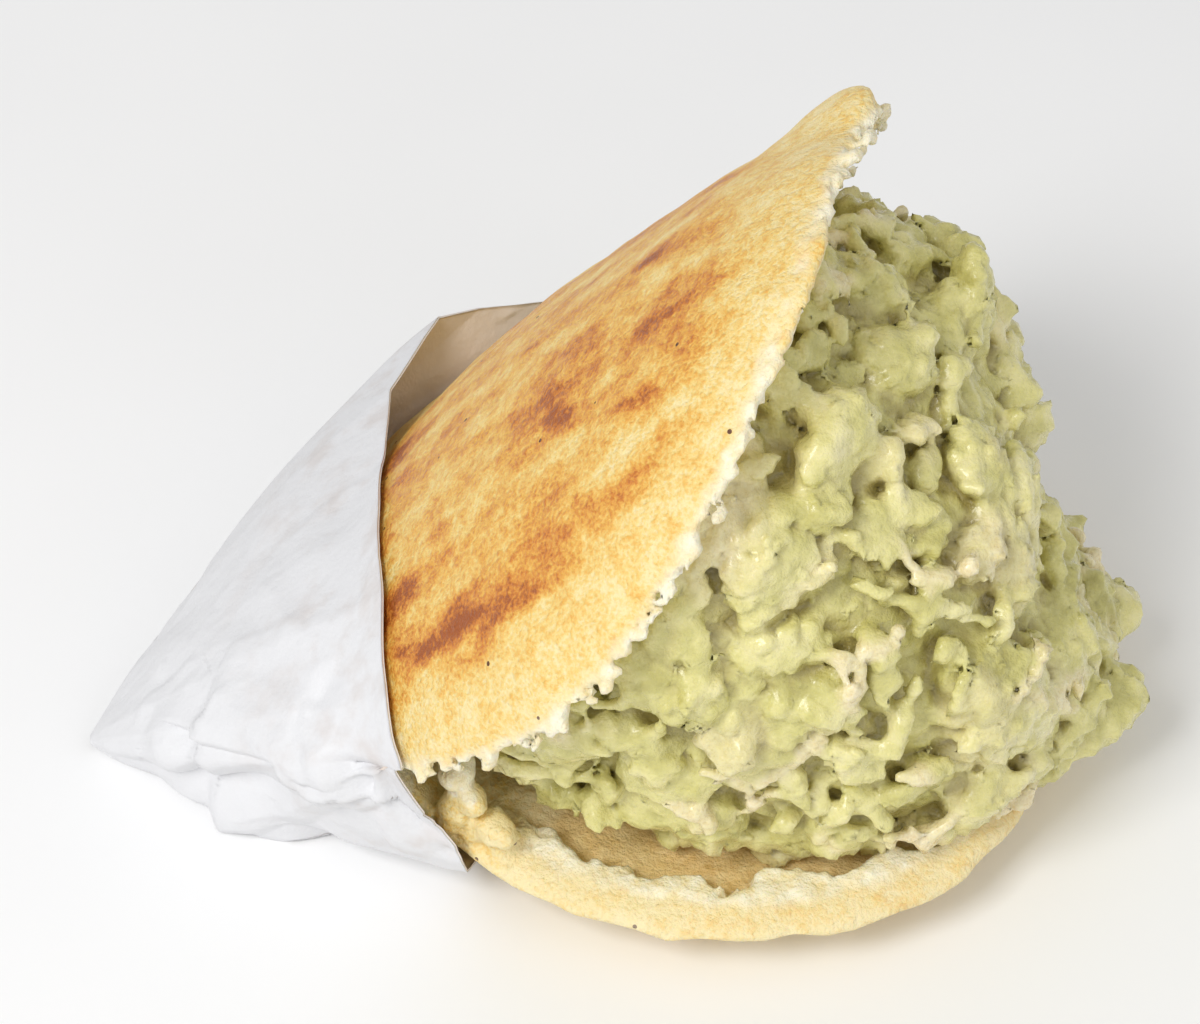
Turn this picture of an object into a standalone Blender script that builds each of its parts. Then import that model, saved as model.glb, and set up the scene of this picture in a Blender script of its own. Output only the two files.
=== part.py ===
"""An arepa, a split maize cake stuffed with avocado and chicken salad, pushed into the corner of a paper bag.

The cake is one bread: two domed leaves that hinge on an uncut strip at -X and open by 51 degrees towards +X.
The salad fans out between the leaves and bulges past their rims. The bag's corner is a cone of paper round the
hinge end. The table is z = 0 and +Y is the far side. Everything is worked out from the middle of the lower leaf
and moved at the end, so that the origin is under the middle of the object's box.
"""

import math

import bmesh
import bpy
from mathutils import Matrix, Vector, noise
from mathutils.bvhtree import BVHTree

# Driving dimensions, in metres and degrees.
CAKE_RADIUS = 0.055
LOWER_DOME = 0.012  # from the cut plane down to the table
UPPER_DOME = 0.0080
DOME_POWER = 2.6  # above 2 the dome has a flatter middle and a rounder shoulder
FLAT_SINK = 0.0004  # how far the soft dome is pressed flat on the table
HINGE_LIFT = 0.007  # how far the lower leaf's cut plane climbs at the hinge
OPENING_ANGLE = 51.0
OPENING_YAW = 11.0  # the upper leaf opens a little towards -Y
UPPER_ROLL = -5.7  # and rolls about its own hinge-to-tip line
ORIGIN_SHIFT = Vector((0.0173, 0.0003, 0.0))  # from the lower leaf's centre to the middle of the whole object
UPPER_CENTRE = Vector((-0.0214, -0.0006, 0.0587))
UPPER_ARCH_RADIUS = 0.0927  # the salad bends the upper leaf across the hinge-to-tip line
UPPER_DROOP = 0.0040  # how much further its far side hangs, short of the hinge
RIM_WALL = 0.0012  # height of the ragged cut edge under the crust
HINGE_BACK = 0.0030  # how much higher than that the crust stops at the back of the hinge
HINGE_SHOULDER = 0.0045  # and how much higher again at the hinge's far corner
HINGE_SWELL = 0.0030  # how far the back of the hinge rounds out
RAGGED = 0.0011  # how far the torn rims wander in and out

PIECE_GAP = 0.0004  # kept between neighbouring pieces
LUMP_SIZE = 0.011
LUMP_RELIEF = 0.0034

PAPER_THICKNESS = 0.0005
PAPER_CLEARANCE = 0.0015
BAG_TIP = Vector((-0.0895, -0.0125, 0.0012))
BAG_FOLD_AT = 0.45  # the share of the way from the tip to the mouth where the folds stand out most
BAG_MIDDLE = Vector((-0.0380, 0.0, 0.0180))  # the middle of the mouth
# The bag's mouth, how far the paper bows out between each point and the tip, and how far it folds out on top of
# that at BAG_FOLD_AT. It runs from the far fold over the crust, down the near side, under the cake and up behind.
MOUTH = (
    (Vector((-0.0405, 0.0410, 0.0328)), 0.0045, 0.0),
    (Vector((-0.0470, 0.0240, 0.0350)), 0.0030, 0.0),
    (Vector((-0.0469, 0.0070, 0.0375)), 0.0025, 0.0),
    (Vector((-0.0463, -0.0060, 0.0425)), 0.0020, 0.0),
    (Vector((-0.0452, -0.0240, 0.0450)), 0.0020, 0.0),
    (Vector((-0.0442, -0.0380, 0.0405)), 0.0020, 0.0),
    (Vector((-0.0430, -0.0460, 0.0345)), 0.0015, 0.0),
    (Vector((-0.0395, -0.0455, 0.0250)), 0.0, -0.0035),
    (Vector((-0.0360, -0.0450, 0.0175)), 0.0010, -0.0010),
    (Vector((-0.0350, -0.0420, 0.0095)), 0.0020, 0.0020),
    (Vector((-0.0335, -0.0320, 0.0010)), 0.0035, 0.0050),
    (Vector((-0.0310, -0.0200, 0.0005)), 0.0, 0.0),
    (Vector((-0.0300, 0.0050, 0.0005)), 0.0, 0.0),
    (Vector((-0.0300, 0.0280, 0.0008)), 0.0, 0.0),
    (Vector((-0.0292, 0.0472, 0.0080)), 0.0020, 0.0),
    (Vector((-0.0250, 0.0510, 0.0170)), 0.0020, 0.0),
    (Vector((-0.0239, 0.0520, 0.0262)), 0.0020, 0.0),
    (Vector((-0.0348, 0.0460, 0.0302)), 0.0030, 0.0),
)

SEGMENTS = 80  # round each leaf and round the salad
CORNER_STEP = 29  # the segment, counted from the tip, where the cut stops and the uncut hinge begins
CRUST_RINGS = 9
CRUMB_ROWS = 4
HINGE_ROWS = 4
FAN_STEPS = 11
BAG_STEP = 0.005  # along the mouth
BAG_RINGS = 11


def clear_scene():
    for thing in list(bpy.data.objects):
        bpy.data.objects.remove(thing)


def ease(value):
    """A smooth step from 0 to 1."""
    value = min(max(value, 0.0), 1.0)
    return value * value * (3 - 2 * value)


def bump(away, half_width):
    """1 where away is 0, falling smoothly to 0 at half_width."""
    return math.cos(min(abs(away) / half_width, 1) * math.pi / 2) ** 2


def bump_at(angle, centre, half_width):
    """A bump round the rim. The angle is in radians, and the centre and half width are in degrees."""
    return bump((math.degrees(angle) - centre + 180) % 360 - 180, half_width)


def wander(place, size, seed=0.0):
    """Smooth noise from -1 to 1 whose features are about size across."""
    return noise.noise(place / size + Vector((seed, seed * 0.7, -seed)))


# The leaves. A leaf point is (along, across, height): along runs from the hinge to the tip, and height from the
# cut plane out to the crust.


def lower_point(along, across, height):
    climb = HINGE_LIFT * (max(-along, 0) / CAKE_RADIUS) ** 2
    return Vector((along, across, max(0.0, LOWER_DOME - FLAT_SINK + climb - height)))


def upper_axes():
    """The upper leaf's hinge-to-tip, sideways and crust directions."""
    turn = Matrix.Rotation(math.radians(-OPENING_YAW), 3, "Z")
    turn = turn @ Matrix.Rotation(math.radians(-OPENING_ANGLE), 3, "Y")
    turn = turn @ Matrix.Rotation(math.radians(UPPER_ROLL), 3, "X")
    return turn.col[0], turn.col[1], turn.col[2]


def upper_point(along, across, height):
    tipward, sideways, outward = upper_axes()
    bend = across / UPPER_ARCH_RADIUS
    reach = UPPER_ARCH_RADIUS + height
    droop = UPPER_DROOP * max(across, 0) / CAKE_RADIUS * ease((along + 0.02) / 0.04)
    rise = reach * math.cos(bend) - UPPER_ARCH_RADIUS - droop
    return UPPER_CENTRE + tipward * along + sideways * reach * math.sin(bend) + outward * rise


def crust_height(radius, dome, rim=CAKE_RADIUS):
    return dome * math.sqrt(max(0.0, 1 - (radius / rim) ** DOME_POWER))


def ragged(angle, seed):
    """How far the rim wanders where the cake was split. It stays round where the hinge is still whole."""
    torn = 1 - bump_at(angle, 180, 70)
    round_rim = Vector((math.cos(angle), math.sin(angle), 0)) * CAKE_RADIUS
    return torn * RAGGED * (wander(round_rim, 0.006, seed) * 1.3 - 0.35)


def lower_rim(angle):
    return CAKE_RADIUS + ragged(angle, 3.0) - 0.0030 * bump_at(angle, -32, 38)


def upper_rim(angle):
    """The upper leaf is straighter along its far side than the lower one, and broader on the near side."""
    trim = 0.0042 * bump_at(angle, 80, 50) + 0.0012 * bump_at(angle, 30, 34)
    return CAKE_RADIUS + ragged(angle, 8.0) - trim + 0.0030 * bump_at(angle, -20, 38)


def lower_edge(angle):
    """How far the crust stops short of the cut plane: thin and torn in front, thick at the hinge."""
    return RIM_WALL + HINGE_BACK * bump_at(angle, 180, 50)


def upper_edge(angle):
    return lower_edge(angle) + HINGE_SHOULDER * bump_at(angle, 135, 50)


def add_ring(mesh, points):
    return [mesh.verts.new(point) for point in points]


def bridge(mesh, first, second):
    for i, corner in enumerate(first):
        after = (i + 1) % len(first)
        mesh.faces.new((corner, first[after], second[after], second[i]))


def fan(mesh, centre, ring):
    """Closes a ring of vertices with triangles to one vertex."""
    hub = mesh.verts.new(centre)
    for i, corner in enumerate(ring):
        mesh.faces.new((corner, ring[(i + 1) % len(ring)], hub))


def material_named(name, colour, roughness):
    material = bpy.data.materials.new(name)
    material.use_nodes = True
    shader = material.node_tree.nodes["Principled BSDF"]
    shader.inputs["Base Color"].default_value = (*colour, 1)
    shader.inputs["Roughness"].default_value = roughness
    shader.inputs["Metallic"].default_value = 0
    return material


def object_from(mesh, name, material=None, smooth=True):
    bmesh.ops.recalc_face_normals(mesh, faces=mesh.faces)
    data = bpy.data.meshes.new(name)
    mesh.to_mesh(data)
    mesh.free()
    if smooth:
        data.shade_smooth()
    made = bpy.data.objects.new(name, data)
    bpy.context.scene.collection.objects.link(made)
    if material:
        data.materials.append(material)
    return made


# The bread.


def segment_angle(i):
    return 2 * math.pi * i / SEGMENTS


def in_the_cut(i):
    """True for the segments from one end of the hinge, round the tip, to the other end."""
    return min(i, SEGMENTS - i) < CORNER_STEP


def crust(mesh, place, dome, rim, edge):
    """The outside of one leaf, from its crown to its rim. Returns the rim's vertices."""
    rings = []
    for ring in range(1, CRUST_RINGS + 1):
        share = math.sin(ring / CRUST_RINGS * math.pi / 2)
        height = crust_height(share * CAKE_RADIUS, dome)
        points = []
        for i in range(SEGMENTS):
            angle = segment_angle(i)
            radius = share * rim(angle)
            thick = max(height, edge(angle))
            points.append(place(radius * math.cos(angle), radius * math.sin(angle), thick))
        rings.append(add_ring(mesh, points))
    for inner, outer in zip(rings, rings[1:]):
        bridge(mesh, inner, outer)
    fan(mesh, place(0, 0, dome), rings[0])
    return rings[-1]


def crumb_row(place, rim, i):
    """The points from the cut rim straight back to the line where the cut stops, for one segment."""
    angle = segment_angle(i)
    radius = 0.98 * rim(angle)
    start = Vector((radius * math.cos(angle), radius * math.sin(angle)))
    corner = segment_angle(CORNER_STEP)
    signed = i if i < CORNER_STEP else i - SEGMENTS
    side = CAKE_RADIUS * math.sin(corner) * signed / CORNER_STEP
    stop = Vector((CAKE_RADIUS * math.cos(corner), side))
    flat = [start.lerp(stop, row / CRUMB_ROWS) for row in range(CRUMB_ROWS + 1)]
    return [place(point.x, point.y, 0) for point in flat]


def wall_points(low, high, angle):
    """The points above low and below high on the wall of the hinge, rounded out at the back of the cake."""
    outward = Vector((math.cos(angle), math.sin(angle), 0)) * HINGE_SWELL * bump_at(angle, 180, 50)
    shares = [row / HINGE_ROWS for row in range(1, HINGE_ROWS)]
    return [low.lerp(high, share) + outward * math.sqrt(4 * share * (1 - share)) for share in shares]


def cut_column(mesh, i, lowest, highest):
    """One segment's vertices down the inside of the cake, from the lower rim to the upper rim."""
    angle = segment_angle(i)
    if in_the_cut(i):
        low = add_ring(mesh, crumb_row(lower_point, lower_rim, i))
        high = add_ring(mesh, crumb_row(upper_point, upper_rim, i))
    else:
        low = [lowest] * (CRUMB_ROWS + 1)
        high = [highest] * (CRUMB_ROWS + 1)
    wall = add_ring(mesh, wall_points(low[-1].co, high[-1].co, angle))
    return [lowest, *low, *wall, *reversed(high), highest]


def bridge_columns(mesh, left, right):
    """Joins two columns of vertices. Where a column repeats a vertex its faces are triangles, or none."""
    for corners in zip(left, left[1:], right[1:], right):
        distinct = list(dict.fromkeys(corners))
        if len(distinct) > 2:
            mesh.faces.new(distinct)


def bread():
    mesh = bmesh.new()
    lowest = crust(mesh, lower_point, LOWER_DOME, lower_rim, lower_edge)
    highest = crust(mesh, upper_point, UPPER_DOME, upper_rim, upper_edge)
    columns = [cut_column(mesh, i, low, high) for i, (low, high) in enumerate(zip(lowest, highest))]
    for left, right in zip(columns, columns[1:] + columns[:1]):
        bridge_columns(mesh, left, right)
    return object_from(mesh, "arepa_bread", material_named("maize_crust", (0.83, 0.56, 0.22), 0.6))


# The salad.


def salad_edge(angle, share):
    """The salad's outline on a leaf: tucked in at the sides, out to the rims in front, clear of the hinge."""
    lower = 0.038 + 0.016 * bump_at(angle, -5, 95)
    upper = 0.044 - 0.0075 * bump_at(angle, 8, 75)
    radius = lower + (upper - lower) * share
    stop = CAKE_RADIUS * math.cos(segment_angle(CORNER_STEP)) + PIECE_GAP
    return Vector((max(radius * math.cos(angle), stop), radius * math.sin(angle)))


def salad_swell(angle, share):
    """How far the salad bulges past the straight line between its edges. It sags in a little at +Y in front."""
    swell = 0.004 + 0.010 * bump_at(angle, -30, 85) + 0.004 * bump_at(angle, 35, 45)
    shoulder = 0.0055 * bump_at(angle, 15, 50) * bump(share - 0.66, 0.3)
    sag = 0.0085 * bump_at(angle, 15, 45) * bump(share - 0.22, 0.2)
    return swell * (4 * share * (1 - share)) ** 0.6 + shoulder - sag


def between(flat, share):
    """A point in the opening, on the lower leaf's cut face at share 0 and on the upper leaf's at 1."""
    low = lower_point(flat.x, flat.y, -PIECE_GAP)
    high = upper_point(flat.x, flat.y, -PIECE_GAP)
    return low.lerp(high, share)


def salad_point(angle, share):
    """A point on the salad's free side, which bulges past the rims and is lumpy all over."""
    flat = salad_edge(angle, share)
    point = between(flat, share)
    tipward, sideways, _ = upper_axes()
    level = Vector((flat.x, flat.y, 0))
    raised = tipward * flat.x + sideways * flat.y
    outward = level.lerp(raised, share).normalized()
    free = ease((flat.x + 0.034) / 0.012)
    lump = wander(point, LUMP_SIZE) + 0.5 * wander(point, 0.5 * LUMP_SIZE, 5)
    lump *= LUMP_RELIEF * math.sin(math.pi * share)
    return point + outward * free * (salad_swell(angle, share) + lump)


def salad():
    mesh = bmesh.new()
    angles = [segment_angle(i) for i in range(SEGMENTS)]
    loops = []
    for step in range(FAN_STEPS + 1):
        loops.append(add_ring(mesh, [salad_point(angle, step / FAN_STEPS) for angle in angles]))
    for lower, upper in zip(loops, loops[1:]):
        bridge(mesh, lower, upper)
    for share, outer in ((0, loops[0]), (1, loops[-1])):
        for scale in (0.7, 0.35):
            inner = add_ring(mesh, [between(salad_edge(angle, share) * scale, share) for angle in angles])
            bridge(mesh, outer, inner)
            outer = inner
        fan(mesh, between(Vector((0, 0)), share), outer)
    return object_from(mesh, "salad_filling", material_named("avocado_salad", (0.62, 0.60, 0.27), 0.35))


# The bag.


def mouth_loop():
    """The mouth's points, bows and folds, with each straight run cut into even steps."""
    loop = []
    for (start, bow, fold), (end, end_bow, end_fold) in zip(MOUTH, MOUTH[1:] + MOUTH[:1]):
        steps = max(1, round((end - start).length / BAG_STEP))
        for step in range(steps):
            share = step / steps
            bows = bow + (end_bow - bow) * share, fold + (end_fold - fold) * share
            loop.append((start.lerp(end, share), *bows))
    return loop


def bag_point(mouth, bow, fold, share):
    """A point on the paper's inside, from the tip at share 0 to the mouth at 1. It lies no lower than the table."""
    axis = (BAG_MIDDLE - BAG_TIP).normalized()
    out = mouth - BAG_MIDDLE
    out = (out - axis * out.dot(axis)).normalized()
    out *= bow * 4 * share * (1 - share) + fold * bump(share - BAG_FOLD_AT, 0.24)
    point = BAG_TIP.lerp(mouth, share) + out
    point.z = max(point.z, PAPER_THICKNESS)
    return point


def keep_clear(point, cake):
    """Moves a point out to the paper's clearance from the cake where it would be nearer, or inside."""
    near, normal, _, _ = cake.find_nearest(point)
    away = (point - near).dot(normal)
    if away > PAPER_CLEARANCE:
        return point
    moved = near + normal * PAPER_CLEARANCE
    moved.z = max(moved.z, PAPER_THICKNESS)
    return moved


def bag_skin(cake):
    """The rings of the paper's inside, as points, draped clear of the cake."""
    rings = []
    for ring in range(1, BAG_RINGS + 1):
        points = [bag_point(*rail, ring / BAG_RINGS) for rail in mouth_loop()]
        rings.append([keep_clear(point, cake) for point in points])
    return rings


def outward_at(rings, ring, i):
    """The paper's outward direction at a point of its inside."""
    before, after = rings[max(ring - 1, 0)][i], rings[min(ring + 1, len(rings) - 1)][i]
    if ring == 0:
        before = BAG_TIP
    count = len(rings[ring])
    left, right = rings[ring][i - 1], rings[ring][(i + 1) % count]
    normal = (after - before).cross(right - left).normalized()
    spoke = rings[ring][i] - BAG_TIP.lerp(BAG_MIDDLE, (ring + 1) / BAG_RINGS)
    return normal if normal.dot(spoke) > 0 else -normal


def outer_point(rings, ring, i):
    point = rings[ring][i] + outward_at(rings, ring, i) * PAPER_THICKNESS
    point.z = max(point.z, 0)
    return point


def bag(cake):
    """The corner of the bag: an outer skin that closes at the tip, an inner skin, and the edge of the paper."""
    mesh = bmesh.new()
    inside = bag_skin(cake)
    outside = []
    for ring, points in enumerate(inside):
        outside.append(add_ring(mesh, [outer_point(inside, ring, i) for i in range(len(points))]))
    inside = [add_ring(mesh, points) for points in inside]
    for first, second in zip(outside, outside[1:]):
        bridge(mesh, first, second)
    for first, second in zip(inside, inside[1:]):
        bridge(mesh, first, second)
    bridge(mesh, outside[-1], inside[-1])
    fan(mesh, BAG_TIP, outside[0])
    fan(mesh, BAG_TIP.lerp(BAG_MIDDLE, 0.6 / BAG_RINGS), inside[0])
    return object_from(mesh, "paper_bag", material_named("white_paper", (0.85, 0.84, 0.84), 0.8))


def tree_of(made):
    mesh = bmesh.new()
    mesh.from_mesh(made.data)
    tree = BVHTree.FromBMesh(mesh)
    mesh.free()
    return tree


def main():
    clear_scene()
    cake = bread()
    for piece in (cake, salad(), bag(tree_of(cake))):
        piece.location = ORIGIN_SHIFT


main()
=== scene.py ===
"""The stuffed arepa in the corner of its paper bag, dressed for the camera.

The bread and the salad are carved as distance fields on a lattice of points, in millimetres, and then
meshed. The bread starts from its solid and gets a torn, crumbly rim. The salad starts from a core sunk
inside its solid, with lumps of mashed avocado and strands of chicken over it. The paper is a fine grid
with real creases.
"""

import itertools
import math

import bpy
import numpy as np
from mathutils import Matrix, Vector
from mathutils.bvhtree import BVHTree


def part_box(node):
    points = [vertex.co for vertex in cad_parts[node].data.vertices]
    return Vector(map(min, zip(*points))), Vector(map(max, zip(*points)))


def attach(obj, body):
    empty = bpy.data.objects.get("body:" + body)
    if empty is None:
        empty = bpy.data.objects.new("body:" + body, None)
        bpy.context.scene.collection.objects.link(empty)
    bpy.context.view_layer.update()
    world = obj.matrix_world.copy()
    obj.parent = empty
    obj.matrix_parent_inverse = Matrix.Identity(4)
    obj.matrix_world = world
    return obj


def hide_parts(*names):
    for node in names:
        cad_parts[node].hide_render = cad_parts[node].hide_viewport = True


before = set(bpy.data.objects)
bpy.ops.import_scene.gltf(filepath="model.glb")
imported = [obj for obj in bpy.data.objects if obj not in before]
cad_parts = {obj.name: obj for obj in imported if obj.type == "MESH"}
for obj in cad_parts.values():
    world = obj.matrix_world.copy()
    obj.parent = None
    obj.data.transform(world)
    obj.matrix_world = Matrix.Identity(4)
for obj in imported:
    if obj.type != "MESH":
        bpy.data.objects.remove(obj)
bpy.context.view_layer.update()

MM = 0.001

# Named values shared with the solids, in millimetres and degrees.
ORIGIN_SHIFT = np.array((17.3, 0.3, 0.0))
CAKE_RADIUS = 55.0
LOWER_DOME = 12.0
FLAT_SINK = 0.4
HINGE_LIFT = 7.0
OPENING_ANGLE = 51.0
OPENING_YAW = 11.0
UPPER_ROLL = -5.7
UPPER_CENTRE = np.array((-21.4, -0.6, 58.7))
UPPER_ARCH_RADIUS = 92.7
UPPER_DROOP = 4.0
HINGE_CORNER = 130.5  # degrees from the tip

# The bag's mouth: x, y and z of each point, how far the paper bows out between there and the bag's tip, and
# how far it is folded outwards half way along.
MOUTH = np.array((
    (-40.5, 41.0, 32.8, 4.5, 0), (-47.0, 24.0, 35.0, 3.0, 0), (-46.9, 7.0, 37.5, 2.5, 0),
    (-46.3, -6.0, 42.5, 2.0, 0), (-45.2, -24.0, 45.0, 2.0, 0), (-44.2, -38.0, 40.5, 2.0, 0),
    (-43.0, -46.0, 34.5, 1.5, 0), (-39.5, -45.5, 25.0, 0, -3.5), (-36.0, -45.0, 17.5, 1.0, -1.0),
    (-35.0, -42.0, 9.5, 2.0, 2.0), (-33.5, -32.0, 1.0, 3.5, 5.0), (-31.0, -20.0, 0.5, 0, 0),
    (-30.0, 5.0, 0.5, 0, 0), (-30.0, 28.0, 0.8, 0, 0), (-29.2, 47.2, 8.0, 2.0, 0),
    (-25.0, 51.0, 17.0, 2.0, 0), (-23.9, 52.0, 26.2, 2.0, 0), (-34.8, 46.0, 30.2, 3.0, 0),
))
BAG_TIP = np.array((-89.5, -12.5, 1.2)) + ORIGIN_SHIFT
BAG_MIDDLE = np.array((-38.0, 0.0, 18.0)) + ORIGIN_SHIFT
TIP_SHARE = 0.012  # the rows of the paper start this far from the tip, where they would all meet
PAPER_THICKNESS = 0.3
PAPER_CLEARANCE = 0.9
DRAPE_REACH = 8.0
EVENING_ROUNDS = 14
BAG_COLUMNS, BAG_ROWS = 400, 105
FAINT_CREASES = 46
# Creases: points given as (place round the mouth, share of the way from the tip to the mouth), the height of
# the ridge, and its width to the left and to the right. A ridge that is narrow on one side is a sharp fold.
CREASES = (
    (((5.2, 0.42), (5.6, 0.54), (5.8, 0.65), (6.4, 0.72), (6.6, 0.82), (6.8, 0.90)), 1.8, 10.0, 0.9),
    (((4.1, 0.47), (4.8, 0.54), (5.4, 0.62), (5.8, 0.67)), 1.2, 9.0, 3.5),
    (((4.1, 0.47), (5.2, 0.38)), -1.3, 3.5, 5.0),
    (((5.2, 0.42), (9.4, 0.36)), 1.5, 9.0, 2.5),
    (((9.4, 0.36), (8.3, 0.56), (6.8, 0.73)), 1.6, 7.0, 3.0),
    (((5.5, 0.08), (5.5, 0.28)), 1.0, 6.0, 6.0),
    (((4.4, 0.28), (5.5, 0.28), (9.0, 0.27)), 1.1, 5.0, 6.0),
    (((3.3, 0.28), (4.2, 0.27), (4.9, 0.23)), -0.8, 6.0, 3.0),
    (((4.7, 0.80), (5.0, 0.76), (5.3, 0.75)), -0.9, 4.0, 2.5),
    (((5.3, 0.75), (5.6, 0.76), (6.1, 0.78), (6.5, 0.81)), 1.0, 4.0, 2.0),
    (((6.8, 0.74), (7.0, 0.80), (6.9, 0.88), (7.7, 0.84), (8.2, 0.84)), 1.0, 5.0, 2.0),
    (((6.9, 0.88), (7.1, 1.0)), -0.6, 5.0, 5.0),
    (((8.8, 0.51), (9.6, 0.66)), -1.4, 5.0, 5.0),
)

# The fitted camera.
CAMERA_ELEVATION = 46.15
CAMERA_DISTANCE = 0.4869
CAMERA_TARGET = Vector((0.00002, 0.0003, 0.03499))
CAMERA_LENS = 106.71
SENSOR_WIDTH = 36

# The studio: each light's name, place, size and power, and the point that they all face.
LIGHTS = (("key", (-0.42, -0.50, 0.80), 0.35, 5.2), ("fill", (0.5, -0.7, 0.5), 0.8, 1.2))
LIGHT_AIM = Vector((0, 0, 0.04))
SKY_STRENGTH = 0.55
FLOOR_REACH = 3

# The lattice: the spacing of its points, and how far from a surface the relief is worked out.
BREAD_STEP = 0.6
SALAD_STEP = 0.55
NEAR_SURFACE = 2.6
MOST_TRIANGLES = 190000

LOWER, UPPER = 0, 1

random = np.random.default_rng(7)


# Small helpers.


def clamp(value):
    """The value kept between 0 and 1."""
    return np.clip(value, 0.0, 1.0)


def ease(value):
    """A smooth step from 0 to 1."""
    value = clamp(value)
    return value * value * (3 - 2 * value)


def bump(away, half_width):
    """1 where away is 0, falling smoothly to 0 at half_width."""
    return np.cos(clamp(np.abs(away) / half_width) * np.pi / 2) ** 2


def bump_at(angle, centre, half_width):
    """A bump round a circle: 1 at the centre angle, 0 at half_width degrees from it."""
    return bump((angle - centre + 180) % 360 - 180, half_width)


def unit(vectors):
    """The vectors at a length of 1."""
    return vectors / np.maximum(np.linalg.norm(vectors, axis=-1, keepdims=True), 1e-9)


def smooth_min(first, second, width):
    """The lower of two fields, blended over a width."""
    mix = clamp(0.5 + 0.5 * (second - first) / width)
    return second + (first - second) * mix - width * mix * (1 - mix)


def cell_hash(cells, seed):
    """A well mixed whole number for each lattice cell."""
    cells = cells.astype(np.int64).astype(np.uint32)
    mixed = cells[:, 0] * np.uint32(73856093) ^ cells[:, 1] * np.uint32(19349663)
    mixed ^= cells[:, 2] * np.uint32(83492791) ^ np.uint32(seed * 7919 + 12345)
    mixed ^= mixed >> np.uint32(13)
    mixed *= np.uint32(1540483477)
    mixed ^= mixed >> np.uint32(15)
    mixed *= np.uint32(2246822519)
    return mixed ^ (mixed >> np.uint32(13))


def wander(points, size, seed=0):
    """Gradient noise from about -1 to 1, with features about size across. size may be three numbers."""
    scaled = points / np.asarray(size, float) + 0.37 * seed
    cells = np.floor(scaled)
    inside = scaled - cells
    fade = inside**3 * (inside * (inside * 6 - 15) + 10)
    total = np.zeros(len(points))
    for corner in itertools.product((0, 1), repeat=3):
        mixed = cell_hash(cells + corner, seed)
        away = inside - corner
        dot = np.zeros(len(points))
        for axis, shift in enumerate((0, 10, 20)):
            slope = ((mixed >> np.uint32(shift)) & np.uint32(1023)) / 511.5 - 1
            dot += slope * away[:, axis]
        share = np.where(corner, fade, 1 - fade)
        total += share[:, 0] * share[:, 1] * share[:, 2] * dot
    return total * 1.5


# The lattice: a box of points and a distance at each, negative inside.


class Lattice:
    """A box of evenly spaced points with a distance at each."""

    def __init__(self, low, high, step):
        self.low = np.asarray(low, float)
        self.step = step
        self.shape = tuple(int(math.ceil(side / step)) + 1 for side in np.asarray(high) - self.low)
        self.values = np.full(self.shape, 9.0, np.float32)

    def at(self, cells):
        """The places of cells given as an N x 3 array."""
        return self.low + cells * self.step

    def window(self, low, high):
        """The slices of the cells between two corners, and those cells' places as three axes."""
        first = np.maximum(np.floor((low - self.low) / self.step).astype(int), 0)
        last = np.minimum(np.ceil((high - self.low) / self.step).astype(int) + 1, self.shape)
        if (last <= first).any():
            return None
        slices = tuple(slice(a, b) for a, b in zip(first, last))
        axes = [self.low[k] + self.step * np.arange(first[k], last[k]) for k in range(3)]
        return slices, np.meshgrid(*axes, indexing="ij")


def grown(mask):
    """The mask with its six-sided neighbours."""
    wide = mask.copy()
    wide[1:] |= mask[:-1]
    wide[:-1] |= mask[1:]
    wide[:, 1:] |= mask[:, :-1]
    wide[:, :-1] |= mask[:, 1:]
    wide[:, :, 1:] |= mask[:, :, :-1]
    wide[:, :, :-1] |= mask[:, :, 1:]
    return wide


def solid_tree(node):
    """A search tree of a CAD node, in millimetres."""
    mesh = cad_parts[node].data
    return BVHTree.FromPolygons(
        [vertex.co / MM for vertex in mesh.vertices], [tuple(face.vertices) for face in mesh.polygons]
    )


def inside_solid(tree, lattice):
    """Which lattice points are inside a closed surface, from its crossings up each column of points."""
    inside = np.zeros(lattice.shape, bool)
    up = Vector((0, 0, 1))
    for i, j in itertools.product(range(lattice.shape[0]), range(lattice.shape[1])):
        start = Vector(lattice.at(np.array((i, j, 0))) + (1e-4, 2e-4, -5.0))
        while True:
            hit = tree.ray_cast(start, up)[0]
            if hit is None:
                break
            first = int(math.ceil((hit.z - lattice.low[2]) / lattice.step))
            inside[i, j, max(first, 0) :] ^= True
            start = Vector((start.x, start.y, hit.z + 1e-3))
    return inside


def solid_field(node, step, reach, margin):
    """A lattice of distances from a CAD node's surface, exact to within reach of it."""
    tree = solid_tree(node)
    low, high = (np.array(corner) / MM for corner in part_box(node))
    coarse = Lattice(low - margin, high + margin, step * 2)
    inside = inside_solid(tree, coarse)
    rounds = int(math.ceil(reach / coarse.step))
    outer, inner = inside, ~inside
    for _ in range(rounds):
        outer, inner = grown(outer), grown(inner)
    near = np.argwhere(outer & inner)
    values = np.where(inside, -reach, reach).astype(np.float32)
    places = coarse.at(near)
    found = np.array([tree.find_nearest(Vector(place))[3] for place in places])
    signs = np.where(inside[tuple(near.T)], -1.0, 1.0)
    values[tuple(near.T)] = signs * np.minimum(found, reach)
    fine = Lattice(low - margin, low - margin + (np.array(coarse.shape) - 1) * coarse.step, step)
    fine.values = refined(values)
    fine.shape = fine.values.shape
    return fine


def refined(values):
    """The same field with a new point half way between each pair of neighbours."""
    for axis in range(3):
        values = np.moveaxis(values, axis, 0)
        finer = np.empty((2 * len(values) - 1, *values.shape[1:]), np.float32)
        finer[::2] = values
        finer[1::2] = (values[1:] + values[:-1]) / 2
        values = np.moveaxis(finer, 0, axis)
    return np.ascontiguousarray(values)


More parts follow.
